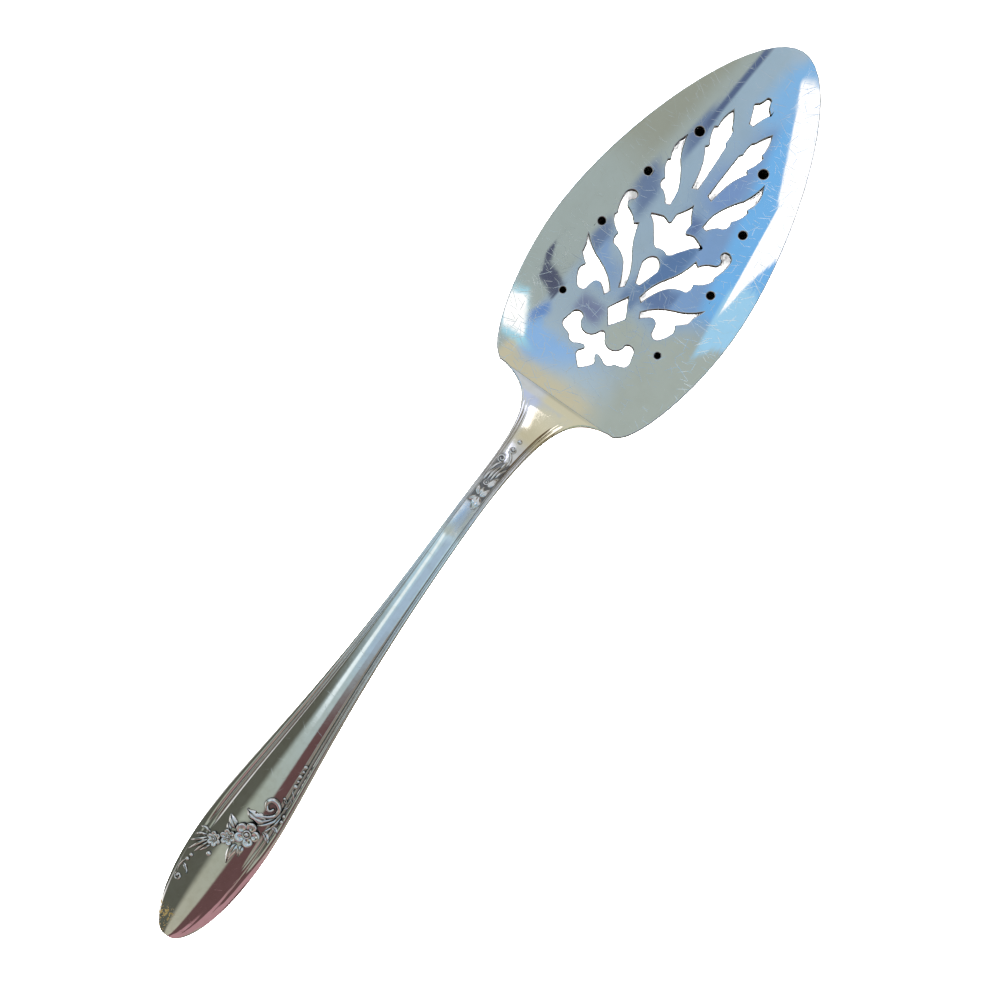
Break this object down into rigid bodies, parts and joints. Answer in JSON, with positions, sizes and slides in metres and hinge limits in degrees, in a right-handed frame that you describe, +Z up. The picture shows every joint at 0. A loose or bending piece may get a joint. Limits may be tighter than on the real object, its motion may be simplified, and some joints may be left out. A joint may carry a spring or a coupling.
{
  "type": "pie server",
  "caption": "Silver-plated pie server with a broad pierced and cupped blade, a raised neck and an arched flat handle with reeded edges.",
  "frame": {"origin": "middle of the footprint, on the table", "axes": "+X along the server towards the blade's tip, +Z up from the table, Y across the blade"},
  "size_m": [0.254, 0.0524, 0.0182],
  "materials": {
    "silver_plate": "polished silver plate with fine scratches",
    "braze": "dull silver braze"
  },
  "bodies": {
    "root": {"blade": "silver_plate", "handle": "silver_plate", "braze_seam": "braze"}
  },
  "joints": []
}
